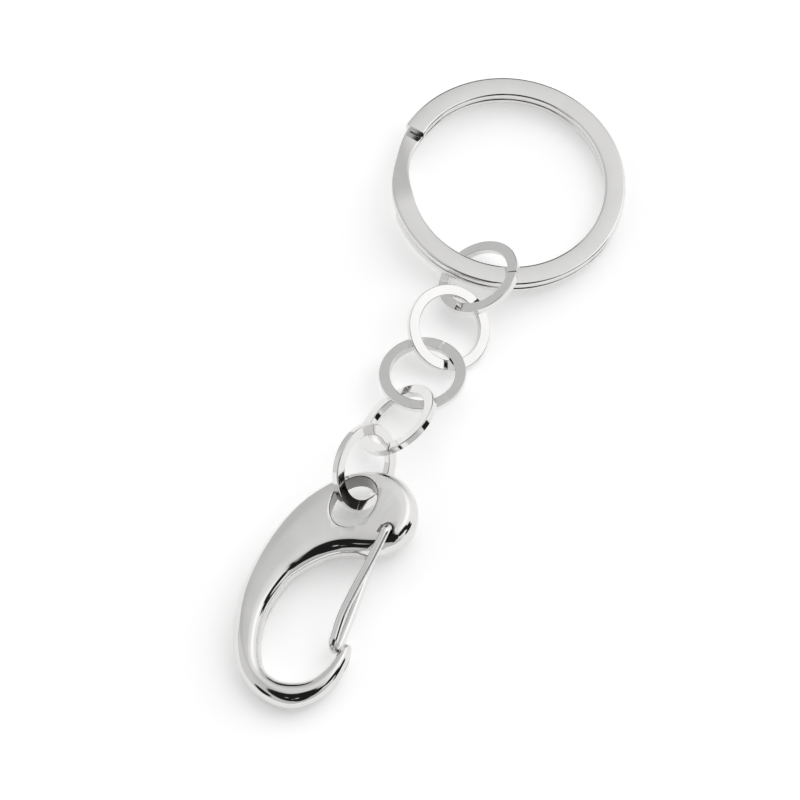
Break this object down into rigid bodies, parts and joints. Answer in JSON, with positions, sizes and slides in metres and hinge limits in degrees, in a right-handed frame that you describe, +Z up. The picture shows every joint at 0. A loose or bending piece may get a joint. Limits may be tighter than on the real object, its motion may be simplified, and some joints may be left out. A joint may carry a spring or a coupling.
{
  "type": "split key ring",
  "caption": "Flat-wire split key ring with a chain of jump rings and a teardrop snap hook closed by a sprung wire gate.",
  "frame": {"origin": "middle of the footprint of the laid-out key ring, on the surface that it lies on", "axes": "+Z up from that surface, +Y from the hook towards the split ring, +X to the right seen from above"},
  "size_m": [0.054, 0.0942, 0.0108],
  "materials": {
    "ring_steel": "polished",
    "jump_ring_steel": "polished",
    "hook_metal": "polished",
    "gate_wire": "polished"
  },
  "bodies": {
    "split_ring": {"split_ring": "ring_steel"},
    "jump_ring_1": {"jump_ring_1": "jump_ring_steel"},
    "jump_ring_2": {"jump_ring_2": "jump_ring_steel"},
    "jump_ring_3": {"jump_ring_3": "jump_ring_steel"},
    "jump_ring_4": {"jump_ring_4": "jump_ring_steel"},
    "jump_ring_5": {"jump_ring_5": "jump_ring_steel"},
    "hook_body": {"hook_body": "hook_metal"},
    "wire_gate": {"wire_gate": "gate_wire"}
  },
  "joints": [
    {"name": "ring_1_travel", "type": "hinge", "parent": "split_ring", "child": "jump_ring_1", "pos_m": [0.01043, 0.03062, 0.00267], "axis": [0.0706, 0.03, 0.9971], "continuous": true},
    {"name": "ring_2_swing", "type": "hinge", "parent": "jump_ring_1", "child": "jump_ring_2", "pos_m": [0.00367, 0.01107, 0.00338], "axis": [0.7561, -0.4487, 0.4764], "range_deg": [-50, 80]},
    {"name": "ring_3_travel", "type": "hinge", "parent": "jump_ring_2", "child": "jump_ring_3", "pos_m": [0.00208, 0.00817, 0.00317], "axis": [-0.3639, 0.2843, -0.887], "range_deg": [-75, 75]},
    {"name": "ring_4_travel", "type": "hinge", "parent": "jump_ring_3", "child": "jump_ring_4", "pos_m": [-0.00152, 0.00102, 0.00332], "axis": [-0.0502, 0.1752, 0.9833], "range_deg": [-75, 75]},
    {"name": "ring_5_swing", "type": "hinge", "parent": "jump_ring_4", "child": "jump_ring_5", "pos_m": [-0.00743, -0.0108, 0.00475], "axis": [0.6765, -0.3243, 0.6612], "range_deg": [-90, 90]},
    {"name": "hook_travel", "type": "hinge", "parent": "jump_ring_5", "child": "hook_body", "pos_m": [-0.00942, -0.01358, 0.00542], "axis": [-0.7484, 0.4269, -0.5075], "range_deg": [-45, 75]},
    {"name": "gate_swing", "type": "hinge", "parent": "hook_body", "child": "wire_gate", "pos_m": [-0.0062, -0.02291, 0.00404], "axis": [0.0286, 0.0674, -0.9973], "range_deg": [0, 20], "stiffness_Nm_per_rad": 0.05, "springref_deg": -11.46}
  ]
}
